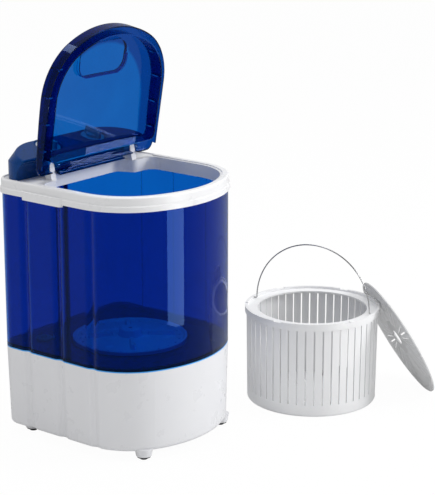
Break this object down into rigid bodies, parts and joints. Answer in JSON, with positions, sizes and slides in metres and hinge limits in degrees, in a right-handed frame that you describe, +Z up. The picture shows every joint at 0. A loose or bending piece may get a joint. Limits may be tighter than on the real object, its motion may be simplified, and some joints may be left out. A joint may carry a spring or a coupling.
{
  "type": "portable_washing_machine",
  "caption": "Compact single-tub washing machine with a clear blue tub and hinged lid, white base and frame, control housing, and a loose spin basket with wire bail and cover disc.",
  "frame": {"origin": "where the upright drive axis of the pulsator meets the floor the machine stands on", "axes": "+X to the right of someone facing the front, +Y towards the back where the control housing is, +Z up"},
  "size_m": [0.7888, 0.6352, 0.8071],
  "materials": {
    "clear_blue": "clear tinted plastic",
    "smoke_blue": "dark translucent plastic",
    "white_plastic": "satin gloss",
    "blue_plastic": "gloss",
    "grey_plastic": "satin",
    "dark_plastic": "matte",
    "rubber": "matte",
    "steel": "plain",
    "motor_metal": "as cast",
    "bronze": "plain"
  },
  "bodies": {
    "cabinet": {"tub": "clear_blue", "control_housing": "smoke_blue", "base_housing": "white_plastic", "top_frame": "white_plastic", "drain_elbow": "white_plastic", "drain_grille": "grey_plastic", "bottom_plate": "grey_plastic", "wash_timer": "dark_plastic", "selector_switch": "dark_plastic", "cord_gland": "dark_plastic", "bearing_housing": "dark_plastic", "motor_capacitor": "dark_plastic", "wiring_loom": "dark_plastic", "rubber_feet": "rubber", "motor_grommets": "rubber", "shaft_seal": "rubber", "bearing_gasket": "rubber", "drive_belt": "rubber", "plate_screws": "steel", "foot_screws": "steel", "tub_screws": "steel", "housing_screws": "steel", "control_screws": "steel", "bearing_screws": "steel", "motor_bracket": "steel", "bracket_screws": "steel", "motor_screws": "steel", "motor": "motor_metal", "bearing_bushes": "bronze"},
    "lid": {"lid": "clear_blue", "hinge_pins": "steel"},
    "timer": {"timer_knob": "grey_plastic", "timer_shaft": "steel"},
    "selector": {"selector_knob": "grey_plastic", "selector_shaft": "steel"},
    "agitator": {"pulsator": "blue_plastic", "pulsator_screw": "steel", "pulsator_shaft": "steel", "driven_pulley": "dark_plastic", "pulley_nut": "steel"},
    "rotor": {"motor_shaft": "steel", "motor_pulley": "motor_metal"},
    "basket": {"spin_basket": "white_plastic"},
    "bail": {"basket_bail": "steel"},
    "cover_disc": {"basket_disc": "grey_plastic"}
  },
  "joints": [
    {"name": "lid_hinge", "type": "hinge", "parent": "cabinet", "child": "lid", "pos_m": [0, 0.096, 0.541], "axis": [1, 0, 0], "range_deg": [-13, 80]},
    {"name": "timer_turn", "type": "hinge", "parent": "cabinet", "child": "timer", "pos_m": [-0.064, 0.151, 0.5682], "axis": [0, -0.2313, 0.9729], "range_deg": [-300, 0]},
    {"name": "selector_turn", "type": "hinge", "parent": "cabinet", "child": "selector", "pos_m": [0.064, 0.151, 0.5682], "axis": [0, -0.2313, 0.9729], "range_deg": [-45, 45]},
    {"name": "pulsator_spin", "type": "hinge", "parent": "cabinet", "child": "agitator", "pos_m": [0, 0, 0.184], "axis": [0, 0, 1], "continuous": true},
    {"name": "motor_spin", "type": "hinge", "parent": "cabinet", "child": "rotor", "pos_m": [0, 0.105, 0.088], "axis": [0, 0, 1], "continuous": true},
    {"name": "basket_slide", "type": "slide", "parent": "cabinet", "child": "basket", "axis": [0.5892, 0.808, 0], "range_m": [0, 0.12]},
    {"name": "bail_swing", "type": "hinge", "parent": "basket", "child": "bail", "pos_m": [0.37, -0.18, 0.1975], "axis": [0.1951, -0.9808, 0], "range_deg": [-50, 86]},
    {"name": "disc_slide", "type": "slide", "parent": "cabinet", "child": "cover_disc", "axis": [0.808, -0.5892, 0], "range_m": [0, 0.1]}
  ],
  "couplings": [
    {"joint": "motor_spin", "follows": "pulsator_spin", "ratio": 5}
  ]
}
